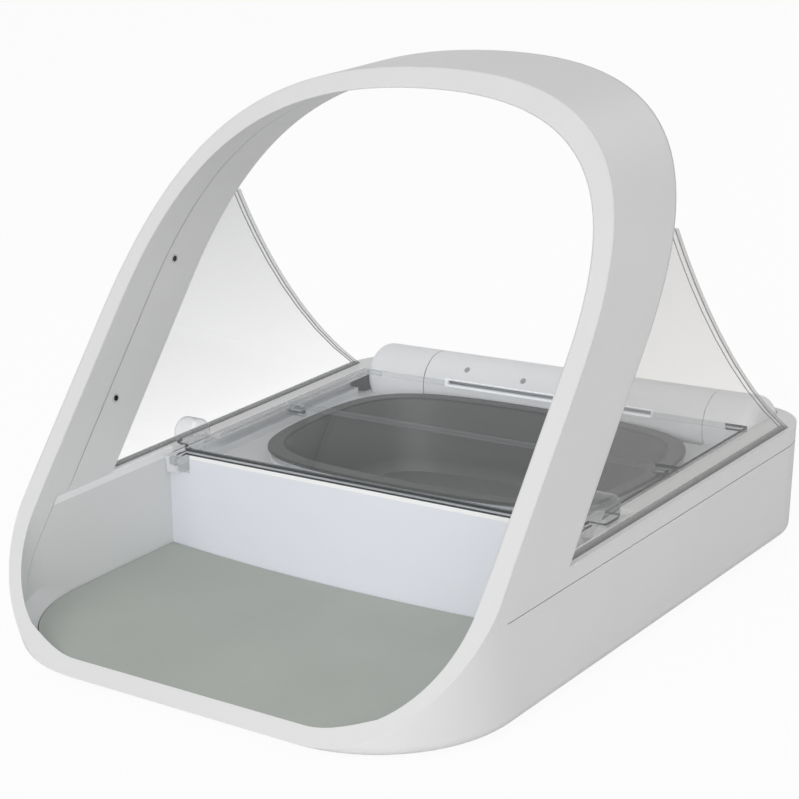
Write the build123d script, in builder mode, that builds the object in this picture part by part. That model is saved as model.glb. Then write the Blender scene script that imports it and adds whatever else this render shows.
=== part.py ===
from build123d import *
import os
from math import atan2, cos, degrees, pi, radians, sin, tan

# Microchip pet feeder: a leaning hoop over a floor mat, clear side shields, and a covered bowl
# under a clear lid that folds in two. +Z is up, +Y runs to the back, X = 0 is the middle plane,
# and the object stands on Z = 0. Millimetres and degrees.

# ---- housing -------------------------------------------------------------------------------
body_width = 227.0
body_length = 268.5
hoop_height = 200.6
hoop_lean = 40.4
hoop_depth = 42.0
hoop_wall = 8.0
arch_start_z = 111.2
arch_shoulder_z = 175.9
arch_crown_inset = 33.9
skin = 2.4
liner_skin = 2.0
face_skin = 2.6
liner_seam_depth = 17.2
liner_gap = 0.3
bezel_depth = 11.4
wall_draft = 5.0
front_corner_width = 50.0
base_corner_ease = 10.5
rear_corner_radius = 25.0
bottom_fillet = 5.0
foot_height = 1.2
seam_drop = 6.7
seam_groove = 0.5
seam_groove_depth = 0.8
flange_thickness = 2.4
flange_width = 15.0
rear_wall = 2.4
coil_thickness = 1.4
coil_depths = (20.0, 36.0)
coil_base_gap = 4.0

# ---- feeding compartment and bowl deck -----------------------------------------------------
deck_length = 152.75
mat_top_z = 7.5
mat_thickness = 2.0
mat_clearance = 0.4
lip_rise = 0.2
compartment_corner_width = 49.5
floor_corner_radius = 50.5
cove_height = 6.5
front_wall_lean = 3.7
front_wall_bow = 7.2
front_wall_thickness = 2.0
front_wall_drop = 1.7
tray_deck_drop = 9.4
tray_skin = 1.8
bowl_side_gap = 11.5
bowl_front_gap = 14.65
bowl_barrel_gap = 0.35
bowl_rim_drop = 4.0
bowl_rim_overhang = 4.6
bowl_rim_thickness = 1.4
bowl_floor_z = 13.0
bowl_wall = 2.0
bowl_taper_run = 14.4
bowl_taper_height = 29.6
bowl_rim_fillet = 0.6
well_clearance = 1.2
well_fit = 0.1
well_lip_inset = 0.6
well_lip_thickness = 1.4
boss_radius = 4.0
boss_inset_x = 45.0
boss_inset_y = 35.25
corner_fullness = 0.85

# ---- lid ------------------------------------------------------------------------------------
hinge_setback = 17.25
deck_over_hinge = 4.4
guide_pin_lead = 2.0
fold_pin_drop = 2.0
lid_rise = 1.7
lid_thickness = 2.8
lid_side_gap = 0.5
lid_front_lead = 1.4
lid_corner_radius = 5.0
fold_gap = 0.8
barrel_radius = 14.0
barrel_wall = 1.8
cap_width_left = 33.2
cap_width_right = 21.2
cap_gap = 0.4
cap_end_round = 5.0
cap_rear_trim = 0.7
panel_drum_gap = 0.2
tongue_width = 106.0
tongue_depth = 5.0
shaft_radius = 3.0
running_clearance = 0.06
ear_thickness = 2.8
ear_radius = 4.0
ear_side_inset = 0.2
ear_notch_gap = 0.9
ear_foot_run = 5.0
ear_top_run = 14.0
pin_radius = 1.8
pin_end_gap = 2.9
knob_radius = 6.4
knob_offset_y = 11.0
knob_offset_z = 9.0
knob_end_gap = 0.4
knob_fillet = 1.5
knuckle_radius = 2.2
knuckle_width = 4.0
knuckle_inset = 9.4
knuckle_gap = 0.3
knuckle_spacing = 0.4
knuckle_pin_radius = 0.9
notch_length = 25.5
track_rear_gap = 19.0
track_front_lead = 1.1
track_side_gap = 0.2
track_pin_gap = 0.4
track_top_gap = 0.1

# ---- shields --------------------------------------------------------------------------------
shield_thickness = 2.2
shield_side_inset = 3.7
shield_lean = 2.3
shield_top_z = 145.5
shield_hoop_gap = 5.4
shield_crown_run = 7.4
shield_rear_setback = 21.25
shield_clearance = 0.12
shield_shoulder_run = 12.3
shield_shoulder_share = 0.71
shield_hip_run = 38.4
shield_hip_share = 0.31

# ---- drive and electronics ------------------------------------------------------------------
gear_module = 1.0
gear_teeth = 20
pinion_teeth = 18
gear_face = 6.0
gear_inset = 11.5
backlash = 0.3
output_radius = 2.0
gearbox_width = 26.0
gearbox_length = 22.0
motor_radius = 11.0
motor_length = 36.0
motor_floor_gap = 2.4
motor_drum_gap = 1.6
bracket_width = 16.0
bush_radius = 7.0
bush_gap = 0.6
gearbox_drum_gap = 0.8
bearing_gap = 2.5
gear_slot_side_room = 1.4
gear_slot_end_room = 2.4
cell_radius = 13.1
cell_length = 50.0
cell_side_inset = 23.5
cell_terminal_radius = 3.2
cell_terminal_height = 1.6
cell_gap = 0.6
cells_hinge_gap = 27.0
bay_end_room = 2.5
bay_wall = 2.0
bay_wall_width = 22.0
bay_wall_height = 24.0
contact_width = 16.0
contact_height = 22.0
contact_thickness = 0.8
cover_thickness = 1.2
cover_step_width = 1.8
cover_step_length = 3.0
cover_fit = 0.2
cover_rib_size = (22.0, 3.0)
cover_rib_offsets = (-36.0, -12.0, 12.0, 36.0)
button_radius = 5.0
button_flange_radius = 6.4
button_travel = 1.2
button_z = 22.0
button_step = 24.0
button_motor_gap = 30.0
button_proud = 0.9
button_end_fillet = 0.8
button_flange_setback = 8.25
button_pad_setback = 1.6
button_pad_size = (74.0, 18.0)
button_pad_depth = 3.2
board_width = 88.0
board_height = 21.0
board_thickness = 1.6
board_drop = 2.5
board_switch_gap = 1.7
post_radius = 2.2
post_drop = 6.5
post_spread = 10.0
chip_height = 2.4
sensor_radius = 1.8
sensor_heights = (125.3, 77.3)
sensor_setback = 6.2
sensor_inset = 4.2
sensor_proud = 0.2
foot_radius = 8.0
foot_recess = 0.6
front_foot_inset = (28.5, 49.25)
rear_foot_inset = (33.5, 22.25)
screw_head_radius = 2.9
screw_socket_radius = 1.3
screw_head_height = 0.5

# Y of the middle of the whole length, which becomes the origin's Y.
length_centre_y = 1.0886

# ---- places worked out from the above -------------------------------------------------------
half_width = body_width / 2
front_y = -body_length / 2
rear_y = body_length / 2
slope = tan(radians(hoop_lean))
wall_slope = tan(radians(front_wall_lean))
base_z = foot_height
housing_floor_z = base_z + skin
motor_z = housing_floor_z + motor_floor_gap + motor_radius
hinge_z = motor_z + motor_radius + motor_drum_gap + barrel_radius
deck_z = hinge_z + deck_over_hinge
seam_z = deck_z - seam_drop
front_wall_top_z = deck_z - front_wall_drop
tray_deck_z = deck_z - tray_deck_drop
bowl_rim_z = deck_z - bowl_rim_drop
collar_z = bowl_rim_z - bowl_rim_thickness
fold_pin_z = deck_z - fold_pin_drop
lid_top_z = deck_z + lid_rise
lid_bottom_z = lid_top_z - lid_thickness
flange_z = deck_z - flange_thickness
hull_height = deck_z - base_z
base_inset = hull_height * tan(radians(wall_draft))
inner_half = half_width - hoop_wall
tray_half = inner_half + tray_skin
opening_half = half_width - flange_width
lid_half = opening_half - lid_side_gap
arch_crown_x = half_width - arch_crown_inset
big = 2 * body_length

front_wall_top_y = rear_y - deck_length
compartment_front_y = front_y + slope * (mat_top_z + lip_rise)
compartment_back_y = front_wall_top_y + front_wall_thickness
compartment_floor_z = mat_top_z - mat_thickness
corner_turn_x = half_width - front_corner_width
corner_turn_y = front_y + slope * deck_z
wall_turn = (inner_half - compartment_corner_width, corner_turn_y)
floor_turn = (inner_half - floor_corner_radius, compartment_front_y + floor_corner_radius)
tub_front_y = front_y + slope * base_z - base_inset
hinge_y = rear_y - hinge_setback
guide_pin_y = front_wall_top_y - guide_pin_lead
half_span = (hinge_y - guide_pin_y) / 2
fold_y = hinge_y - half_span
lid_width = 2 * lid_half
lid_front_y = front_wall_top_y - lid_front_lead
deck_front_y = front_wall_top_y - front_wall_thickness / 5
barrel_front_y = hinge_y - barrel_radius - cap_gap
bowl_half_width = opening_half - bowl_side_gap
bowl_front_y = front_wall_top_y + bowl_front_gap
bowl_rear_y = hinge_y - barrel_radius - bowl_barrel_gap
bowl_half_length = (bowl_rear_y - bowl_front_y) / 2
bowl_y = (bowl_front_y + bowl_rear_y) / 2
bowl_slope = degrees(atan2(bowl_taper_run, bowl_taper_height))
well_bottom_z = bowl_floor_z - well_clearance - tray_skin
boss_x = bowl_half_width - boss_inset_x
boss_y = bowl_half_length - boss_inset_y
boss_places = [(x, bowl_y + y) for x in (-boss_x, boss_x) for y in (-boss_y, boss_y)]

drum_left_x = cap_width_left + cap_gap - opening_half
drum_right_x = opening_half - cap_width_right - cap_gap
cap_rear_y = hinge_y + barrel_radius - cap_rear_trim
cap_clear_y = hinge_y - barrel_radius - panel_drum_gap
cap_bore_end_x = opening_half - cap_end_round
tongue_y = hinge_y - 9
gear_radius = gear_module * gear_teeth / 2
pinion_radius = gear_module * pinion_teeth / 2
gear_x = opening_half - gear_inset
gear_end_x = gear_x + gear_face / 2
pinion_z = hinge_z - gear_radius - pinion_radius
bush_start_x = gear_end_x + bush_gap
gearbox_end_x = gear_x - gear_face / 2 - 2
gearbox_start_x = gearbox_end_x - gearbox_width
gearbox_low_z = motor_z - 9
gearbox_high_z = hinge_z - barrel_radius - gearbox_drum_gap
motor_start_x = gearbox_start_x - motor_length
bearing_x = gear_end_x + bearing_gap

pin_reach = inner_half - pin_end_gap
knob_end_x = inner_half - knob_end_gap
ear_notch_x = lid_half - ear_thickness - ear_notch_gap
rear_knuckle_x = lid_half - knuckle_inset
front_knuckle_x = rear_knuckle_x + knuckle_width + knuckle_spacing
notch_end_y = guide_pin_y + notch_length
track_inner_x = opening_half + track_side_gap
track_outer_x = inner_half - track_side_gap
track_wall_x = pin_reach + track_pin_gap
track_front_y = guide_pin_y - track_front_lead
track_rear_y = hinge_y - track_rear_gap
track_groove_z = hinge_z - pin_radius - running_clearance
track_top_z = flange_z - track_top_gap

shield_foot_x = half_width - shield_side_inset
shield_front_top_y = front_y + slope * shield_top_z + hoop_depth
shield_front_y = front_y + slope * deck_z + hoop_depth + shield_hoop_gap
shield_rear_y = rear_y - shield_rear_setback

foot_places = [(side * (half_width - front_foot_inset[0]), front_y + front_foot_inset[1]) for side in (-1, 1)]
foot_places += [(side * (half_width - rear_foot_inset[0]), rear_y - rear_foot_inset[1]) for side in (-1, 1)]
button_back_y = rear_y - button_flange_setback
button_pad_y = button_back_y + button_pad_setback
button_tip_y = rear_y - (deck_z - button_z) * tan(radians(wall_draft)) + button_proud
button_xs = [motor_start_x - button_motor_gap - button_step * step for step in (2, 1, 0)]
board_x = button_xs[1]
board_rear_y = button_back_y - button_travel - board_switch_gap
cell_x = half_width - cell_side_inset
cell_z = housing_floor_z + cell_gap + cell_radius
cells_front_y = hinge_y - cells_hinge_gap - 2 * cell_length
bay_front_y = cells_front_y - bay_end_room
bay_rear_y = cells_front_y + 2 * cell_length + bay_end_room
bay_y = (bay_front_y + bay_rear_y) / 2
bay_width = 2 * cell_radius + cell_gap
bay_length = bay_rear_y - bay_front_y
cover_top_z = base_z + cover_thickness


def lean_y(z, depth=0.0):
    """Y of the leaning front plane at height z, moved back by depth."""
    return front_y + slope * z + depth


def lean_z(y, depth=0.0):
    """Height at which the leaning plane at this depth passes y."""
    return (y - depth - front_y) / slope


def squircle(half_x, half_y):
    """A closed oval with full corners, from four mirrored curves, as a sketch."""
    hx, hy = half_x * corner_fullness, half_y * corner_fullness
    with BuildSketch() as oval:
        with BuildLine():
            Bezier((half_x, 0), (half_x, hy), (hx, half_y), (0, half_y))
            Bezier((0, half_y), (-hx, half_y), (-half_x, hy), (-half_x, 0))
            Bezier((-half_x, 0), (-half_x, -hy), (-hx, -half_y), (0, -half_y))
            Bezier((0, -half_y), (hx, -half_y), (half_x, -hy), (half_x, 0))
        make_face()
    return oval.sketch


def leaning_slab(depth_from, depth_to, z_low=-1.0, z_high=hoop_height + 20):
    """Everything between two planes parallel to the hoop's front face."""
    with BuildPart() as slab:
        with BuildSketch(Plane.YZ):
            Polygon(
                (lean_y(z_low, depth_from), z_low),
                (lean_y(z_low, depth_to), z_low),
                (lean_y(z_high, depth_to), z_high),
                (lean_y(z_high, depth_from), z_high),
                align=None,
            )
        extrude(amount=body_width, both=True)
    return slab.part


def arch_block(inset, z_low):
    """The hoop's outline, moved in by inset, as a long prism along Y that stands on z_low."""
    half = half_width - inset
    start_z = arch_start_z + inset / 3
    shoulder_z = arch_shoulder_z - inset
    crown_x = arch_crown_x - inset / 3
    crown_z = hoop_height - 0.9 * inset
    with BuildPart() as block:
        with BuildSketch(Plane.XZ):
            with BuildLine():
                Polyline((-half, start_z), (-half, z_low), (half, z_low), (half, start_z))
                Bezier((half, start_z), (half, shoulder_z), (crown_x, crown_z), (0, crown_z))
                Bezier((0, crown_z), (-crown_x, crown_z), (-half, shoulder_z), (-half, start_z))
            make_face()
        extrude(amount=big, both=True)
    return block.part


def arch_band(outer_inset, inner_inset, depth_from, depth_to, z_low):
    """A band of the hoop between two insets and two depths."""
    with BuildPart() as band:
        add(arch_block(outer_inset, z_low))
        add(arch_block(inner_inset, z_low - 5), mode=Mode.SUBTRACT)
        add(leaning_slab(depth_from, depth_to), mode=Mode.INTERSECT)
    return band.part


def corner_arc(side, turn, half, y_front):
    """An oval front corner: a quarter turn about turn, out to half and forward to y_front."""
    turn_x, turn_y = turn
    start = -90 if side > 0 else 180
    EllipticalCenterArc(
        (side * turn_x, turn_y), half - turn_x, turn_y - y_front, start_angle=start, arc_size=90
    )


def plan_outline(half, y_front, turn, y_rear, rear_radius):
    """A plan outline with oval front corners and round rear corners, as a sketch."""
    rear_x, rear_turn_y = half - rear_radius, y_rear - rear_radius
    with BuildSketch() as outline:
        with BuildLine():
            Line((-turn[0], y_front), (turn[0], y_front))
            corner_arc(1, turn, half, y_front)
            Line((half, turn[1]), (half, rear_turn_y))
            CenterArc((rear_x, rear_turn_y), rear_radius, 0, 90)
            Line((rear_x, y_rear), (-rear_x, y_rear))
            CenterArc((-rear_x, rear_turn_y), rear_radius, 90, 90)
            Line((-half, rear_turn_y), (-half, turn[1]))
            corner_arc(-1, turn, half, y_front)
        make_face()
    return outline.sketch


def tub_block(inset, z_low, z_high):
    """The drafted body between two heights, moved in by inset."""
    with BuildPart() as block:
        for z in (z_low, z_high):
            spread = (z - deck_z) * tan(radians(wall_draft)) - inset
            ease = base_corner_ease * (deck_z - z) / hull_height
            turn = (corner_turn_x - ease, corner_turn_y + ease)
            with BuildSketch(Plane.XY.offset(z)):
                add(
                    plan_outline(
                        half_width + spread,
                        tub_front_y - spread,
                        turn,
                        rear_y + spread,
                        rear_corner_radius + spread,
                    )
                )
        loft(ruled=True)
    return block.part


def compartment_outline(grow, turn):
    """The feeding compartment's plan outline with the corners of turn, grown by grow, as a sketch."""
    half = inner_half + grow
    y_low = compartment_front_y - grow
    with BuildSketch() as outline:
        with BuildLine():
            Line((-turn[0], y_low), (turn[0], y_low))
            corner_arc(1, turn, half, y_low)
            Line((half, turn[1]), (half, compartment_back_y))
            Line((half, compartment_back_y), (-half, compartment_back_y))
            Line((-half, compartment_back_y), (-half, turn[1]))
            corner_arc(-1, turn, half, y_low)
        make_face()
    return outline.sketch


def compartment_prism(grow, z_low, z_high, turn=wall_turn):
    """The compartment's outline as an upright block between two heights."""
    with BuildPart() as prism:
        with BuildSketch(Plane.XY.offset(z_low)):
            add(compartment_outline(grow, turn))
        extrude(amount=z_high - z_low)
    return prism.part


def behind_front_wall(offset):
    """All that lies behind the front wall, moved back by offset: straight above, bowed at its foot."""
    with BuildPart() as wedge:
        for z in (0, deck_z + 10):
            drop = front_wall_top_z - z
            y = front_wall_top_y + offset - drop * wall_slope
            bow = drop * front_wall_bow / (front_wall_top_z - mat_top_z)
            with BuildSketch(Plane.XY.offset(z)):
                with BuildLine():
                    Bezier((-half_width, y), (0, y - 2 * bow), (half_width, y))
                    Polyline((half_width, y), (half_width, big), (-half_width, big), (-half_width, y))
                make_face()
        loft(ruled=True)
    return wedge.part


def shield_plate(side, grow):
    """One side shield, or its slot when grown by a clearance."""
    lean = radians(shield_lean)
    plane = Plane(
        origin=(side * shield_foot_x, 0, deck_z),
        x_dir=(0, 1, 0),
        z_dir=(side * cos(lean), 0, sin(lean)),
    )
    up = 1 if side > 0 else -1
    tall = 1 / cos(lean)
    top = (shield_top_z - deck_z) * tall
    low = (seam_z - deck_z) * tall - 3 * grow
    front_z = (lean_z(shield_front_y, hoop_depth) - deck_z) * tall
    crown_y = shield_front_top_y + shield_crown_run
    crown_end = (crown_y, up * top)
    shoulder = (crown_y + shield_shoulder_run, up * top * shield_shoulder_share)
    hip = (shield_rear_y - shield_hip_run, up * top * shield_hip_share)
    foot_y = shield_rear_y + grow
    with BuildPart() as plate:
        with BuildSketch(plane):
            with BuildLine():
                Polyline(
                    (foot_y, 0),
                    (foot_y, up * low),
                    (shield_front_y - grow, up * low),
                    (shield_front_y - grow, up * front_z),
                    (shield_front_top_y, up * top),
                    crown_end,
                )
                Bezier(crown_end, shoulder, hip, (foot_y, 0))
            make_face()
        extrude(amount=shield_thickness / 2 + grow, both=True)
        add(leaning_slab(0, hoop_depth), mode=Mode.SUBTRACT)
    return plate.part


def save(builder, name):
    """Writes one node, moved so that Y = 0 is the middle of the overall length."""
    node = Pos(0, -length_centre_y, 0) * builder.part
    node.label = name
    export_step(node, "parts/" + name + ".step")


os.makedirs("parts", exist_ok=True)

# ---- common solids --------------------------------------------------------------------------
with BuildPart() as hull:
    add(tub_block(0, base_z, deck_z))
    fillet(hull.edges().group_by(Axis.Z)[0], bottom_fillet)

with BuildPart() as hull_inside:
    add(tub_block(skin, base_z + skin, deck_z + 1))

# The room over the mat: round corners at the floor, a cove, and fuller corners above.
with BuildPart() as compartment_room:
    add(compartment_prism(0, compartment_floor_z, mat_top_z, floor_turn))
    with BuildSketch(Plane.XY.offset(mat_top_z)):
        add(compartment_outline(0, floor_turn))
    with BuildSketch(Plane.XY.offset(mat_top_z + cove_height)):
        add(compartment_outline(0, wall_turn))
    loft(ruled=True)
    add(compartment_prism(0, mat_top_z + cove_height, deck_z + 1))

with BuildPart() as compartment:
    add(compartment_room.part)
    add(behind_front_wall(0), mode=Mode.SUBTRACT)

with BuildPart() as tray_walls_room:
    add(compartment_prism(tray_skin, housing_floor_z, deck_z))
    add(leaning_slab(bezel_depth, big), mode=Mode.INTERSECT)

with BuildPart() as bezel_hollow:
    add(hull_inside.part)
    with BuildSketch(Plane.XY.offset(flange_z)):
        Rectangle(big, big)
    extrude(amount=hoop_height, mode=Mode.SUBTRACT)
    add(compartment_prism(tray_skin, housing_floor_z - 1, deck_z), mode=Mode.SUBTRACT)
    add(leaning_slab(face_skin, big), mode=Mode.INTERSECT)

sensor_places = [(lean_y(z, liner_seam_depth + sensor_setback), z) for z in sensor_heights]


# ---- upper housing: hoop face, outer hoop skin, side flanges and rear edge ------------------
with BuildPart() as upper_housing:
    add(arch_block(0, deck_z))
    add(leaning_slab(0, hoop_depth), mode=Mode.INTERSECT)
    add(hull.part)
    add(leaning_slab(0, big), mode=Mode.INTERSECT)
    # Below the seam only the bezel at the very front belongs to this shell.
    with BuildSketch(Plane.YZ):
        Polygon(
            (lean_y(-1, bezel_depth), -1),
            (big, -1),
            (big, seam_z),
            (lean_y(seam_z, bezel_depth), seam_z),
            align=None,
        )
    extrude(amount=body_width, both=True, mode=Mode.SUBTRACT)
    # The open middle of the hoop, the compartment and the tray walls' room behind the bezel.
    add(arch_block(hoop_wall, deck_z), mode=Mode.SUBTRACT)
    add(compartment.part, mode=Mode.SUBTRACT)
    add(tray_walls_room.part, mode=Mode.SUBTRACT)
    # The hollow of the hoop, and the liner's place at the back of its inner side.
    add(arch_band(skin, hoop_wall - liner_skin, face_skin, big, deck_z), mode=Mode.SUBTRACT)
    add(arch_band(skin, hoop_wall + 1, liner_seam_depth, big, deck_z), mode=Mode.SUBTRACT)
    # The hollow under the flanges and inside the bezel.
    add(bezel_hollow.part, mode=Mode.SUBTRACT)
    # The lid's opening, the knobs' notches and the shields' slots.
    with BuildSketch(Plane.XY.offset(seam_z - 1)):
        with Locations((0, (front_wall_top_y - 4 + rear_y - rear_wall) / 2)):
            RectangleRounded(2 * opening_half, rear_y - rear_wall - front_wall_top_y + 4, 6)
        with Locations((0, (front_wall_top_y - 4 + notch_end_y) / 2)):
            Rectangle(2 * inner_half, notch_end_y - front_wall_top_y + 4)
    extrude(amount=deck_z, mode=Mode.SUBTRACT)
    for side in (-1, 1):
        add(shield_plate(side, shield_clearance), mode=Mode.SUBTRACT)

save(upper_housing, "upper_housing")

# ---- hoop liner, its sensors and the antenna inside the hoop ---------------------------------
with BuildPart() as sensor_rods:
    for y, z in sensor_places:
        with BuildSketch(Plane.YZ):
            with Locations((y, z)):
                Circle(sensor_radius)
        extrude(amount=body_width, both=True)

with BuildPart() as sensor_holes:
    for y, z in sensor_places:
        with BuildSketch(Plane.YZ):
            with Locations((y, z)):
                Circle(sensor_radius + running_clearance)
        extrude(amount=body_width, both=True)

with BuildPart() as hoop_liner:
    add(arch_band(hoop_wall - liner_skin, hoop_wall, liner_seam_depth + liner_gap, hoop_depth, deck_z))
    add(arch_band(skin, hoop_wall, hoop_depth - skin, hoop_depth, deck_z))
    add(sensor_holes.part, mode=Mode.SUBTRACT)
save(hoop_liner, "hoop_liner")

with BuildPart() as ir_sensors:
    add(arch_band(sensor_inset, hoop_wall + sensor_proud, 0, hoop_depth, deck_z))
    add(sensor_rods.part, mode=Mode.INTERSECT)
save(ir_sensors, "ir_sensors")

with BuildPart() as antenna_coil:
    add(arch_band(skin, skin + coil_thickness, *coil_depths, deck_z + coil_base_gap))
save(antenna_coil, "antenna_coil")


# ---- bowl -------------------------------------------------------------------------------------
def oval_tub(grow, z_low, z_high):
    """The bowl's outside, grown by grow, as a tapered block between two heights."""
    with BuildPart() as tub:
        for z in (z_low, z_high):
            shrink = (collar_z - z) * tan(radians(bowl_slope))
            half_x = bowl_half_width - bowl_rim_overhang - shrink + grow
            half_y = bowl_half_length - bowl_rim_overhang - shrink + grow
            with BuildSketch(Plane((0, bowl_y, z))):
                add(squircle(half_x, half_y))
        loft()
    return tub.part


with BuildPart() as bowl:
    with BuildSketch(Plane((0, bowl_y, collar_z))):
        add(squircle(bowl_half_width, bowl_half_length))
    extrude(amount=bowl_rim_thickness)
    fillet(bowl.edges().group_by(Axis.Z)[-1], bowl_rim_fillet)
    add(oval_tub(0, bowl_floor_z, collar_z))
    fillet(bowl.edges().group_by(Axis.Z)[0], 4)
    add(oval_tub(-bowl_wall, bowl_floor_z + bowl_wall, bowl_rim_z + 1), mode=Mode.SUBTRACT)
save(bowl, "bowl")

# ---- inner tray: compartment walls and floor, front wall and bowl deck --------------------------
with BuildPart() as front_wall:
    add(behind_front_wall(0))
    add(behind_front_wall(front_wall_thickness), mode=Mode.SUBTRACT)
    with BuildSketch(Plane.XY.offset(housing_floor_z)):
        Rectangle(2 * tray_half, big)
    extrude(amount=front_wall_top_z - housing_floor_z, mode=Mode.INTERSECT)
    # Notches that let the lid's ears and guide pins come forward.
    for side in (-1, 1):
        with BuildSketch(Plane.XY.offset(tray_deck_z)):
            with Locations((side * (inner_half + ear_notch_x) / 2, 0)):
                Rectangle(inner_half - ear_notch_x, big)
        extrude(amount=deck_z, mode=Mode.SUBTRACT)

# A fine groove along the tray walls' joint with the upper housing.
with BuildPart() as wall_groove:
    add(compartment_prism(seam_groove, mat_top_z + cove_height, deck_z + 1))
    add(leaning_slab(bezel_depth + seam_groove, big), mode=Mode.SUBTRACT)
    add(compartment_prism(seam_groove, deck_z - seam_groove, deck_z + 1))

with BuildPart() as inner_tray:
    add(compartment_prism(tray_skin, housing_floor_z, deck_z))
    add(leaning_slab(bezel_depth, big), mode=Mode.INTERSECT)
    add(compartment_room.part, mode=Mode.SUBTRACT)
    add(wall_groove.part, mode=Mode.SUBTRACT)
    add(behind_front_wall(front_wall_thickness), mode=Mode.SUBTRACT)
    add(front_wall.part)
    # The deck that carries the bowl, the tracks and the barrel's end caps.
    with BuildSketch(Plane.XY.offset(tray_deck_z)):
        with Locations((0, (deck_front_y + barrel_front_y) / 2)):
            Rectangle(2 * inner_half, barrel_front_y - deck_front_y)
        for x in ((drum_left_x - cap_gap - opening_half) / 2, (drum_right_x + cap_gap + opening_half) / 2):
            with Locations((x, (barrel_front_y + cap_rear_y) / 2)):
                Rectangle(2 * (opening_half - abs(x)), cap_rear_y - barrel_front_y)
    extrude(amount=-tray_skin)
    add(oval_tub(well_clearance + tray_skin + well_fit, well_bottom_z, collar_z), mode=Mode.SUBTRACT)
    # The slot where the lid's gear reaches down to the pinion.
    with BuildSketch(Plane.XY.offset(tray_deck_z)):
        with Locations((gear_x, hinge_y)):
            Rectangle(gear_face + gear_slot_side_room, 2 * gear_radius + gear_slot_end_room)
    extrude(amount=-10, mode=Mode.SUBTRACT)
    add(hull_inside.part, mode=Mode.INTERSECT)
save(inner_tray, "inner_tray")

# ---- well under the bowl: a tub with a lip on the deck and bosses on the housing's floor ------
with BuildPart() as bowl_well:
    with BuildSketch(Plane((0, bowl_y, tray_deck_z))):
        add(squircle(bowl_half_width - well_lip_inset, bowl_half_length - well_lip_inset))
    extrude(amount=well_lip_thickness)
    add(oval_tub(well_clearance + tray_skin, well_bottom_z, collar_z))
    add(oval_tub(well_clearance, well_bottom_z + tray_skin, collar_z + 1), mode=Mode.SUBTRACT)
    with BuildSketch(Plane.XY.offset(well_bottom_z)):
        with Locations(*boss_places):
            Circle(boss_radius)
    extrude(amount=housing_floor_z - well_bottom_z)
save(bowl_well, "bowl_well")

# ---- lower housing ------------------------------------------------------------------------------
with BuildPart() as lower_housing:
    add(hull.part)
    with BuildSketch(Plane.XY.offset(seam_z)):
        Rectangle(big, big)
    extrude(amount=hoop_height, mode=Mode.SUBTRACT)
    add(leaning_slab(bezel_depth, big), mode=Mode.INTERSECT)
    add(hull_inside.part, mode=Mode.SUBTRACT)
    # The shadow groove all round below the upper housing.
    with BuildPart(mode=Mode.PRIVATE) as groove:
        add(tub_block(-1, seam_z - seam_groove, seam_z))
        add(tub_block(seam_groove_depth, base_z, deck_z), mode=Mode.SUBTRACT)
    add(groove.part, mode=Mode.SUBTRACT)
    # A flat pad behind the buttons and the posts of the circuit board.
    with BuildSketch(Plane.XZ.offset(-button_pad_y)):
        with Locations((button_xs[1], button_z)):
            Rectangle(*button_pad_size)
    extrude(amount=-button_pad_depth)
    with BuildSketch(Plane.XZ.offset(-board_rear_y)):
        for x in (button_xs[0] - post_spread, button_xs[2] + post_spread):
            with Locations((x, button_z - post_drop)):
                Circle(post_radius)
    extrude(amount=-(button_pad_y - board_rear_y))
    with BuildSketch(Plane.XZ.offset(-button_pad_y + 1)):
        with Locations(*[(x, button_z) for x in button_xs]):
            Circle(button_radius + running_clearance)
    extrude(amount=-12, mode=Mode.SUBTRACT)
    for side in (-1, 1):
        # The battery bay's opening, stepped for its cover, and the bay's end walls.
        with BuildSketch(Plane.XY.offset(housing_floor_z)):
            for y in (bay_front_y - bay_wall / 2, bay_rear_y + bay_wall / 2):
                with Locations((side * cell_x, y)):
                    Rectangle(bay_wall_width, bay_wall)
        extrude(amount=bay_wall_height)
        with BuildSketch(Plane.XY):
            with Locations((side * cell_x, bay_y)):
                Rectangle(bay_width, bay_length)
        extrude(amount=housing_floor_z, mode=Mode.SUBTRACT)
        with BuildSketch(Plane.XY):
            with Locations((side * cell_x, bay_y)):
                Rectangle(bay_width + cover_step_width, bay_length + cover_step_length)
        extrude(amount=cover_top_z, mode=Mode.SUBTRACT)
    with BuildSketch(Plane.XY):
        with Locations(*foot_places):
            Circle(foot_radius)
        with Locations(*boss_places):
            Circle(3)
    extrude(amount=base_z + foot_recess, mode=Mode.SUBTRACT)
save(lower_housing, "lower_housing")

with BuildPart() as rubber_feet:
    with BuildSketch(Plane.XY):
        with Locations(*foot_places):
            Circle(foot_radius)
    extrude(amount=base_z + foot_recess)
    fillet(rubber_feet.edges().group_by(Axis.Z)[0], 0.5)
save(rubber_feet, "rubber_feet")

with BuildPart() as housing_screws:
    with BuildSketch(Plane.XY.offset(base_z + foot_recess - screw_head_height)):
        with Locations(*boss_places):
            Circle(screw_head_radius)
            RegularPolygon(screw_socket_radius, 6, mode=Mode.SUBTRACT)
    extrude(amount=screw_head_height)
save(housing_screws, "housing_screws")

with BuildPart() as floor_mat:
    add(compartment_prism(-mat_clearance, compartment_floor_z, mat_top_z, floor_turn))
    add(behind_front_wall(-mat_clearance), mode=Mode.SUBTRACT)
save(floor_mat, "floor_mat")

# ---- lid: rear panel with drum, shaft and gear; front panel with ears, pins and knobs --------------
def fold_knuckle(side, start_x, radius, width=knuckle_width):
    """A cylinder along X on the fold axis, from start_x outwards on one side."""
    with BuildPart() as knuckle:
        with BuildSketch(Plane.YZ.offset(side * start_x)):
            with Locations((fold_y, fold_pin_z)):
                Circle(radius)
        extrude(amount=side * width)
    return knuckle.part


def knuckle_pocket(side, start_x, width):
    """The room that the other panel's knuckle from start_x turns in."""
    gap = knuckle_gap
    return fold_knuckle(side, start_x - gap, knuckle_radius + gap, width + 2 * gap)


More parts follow.
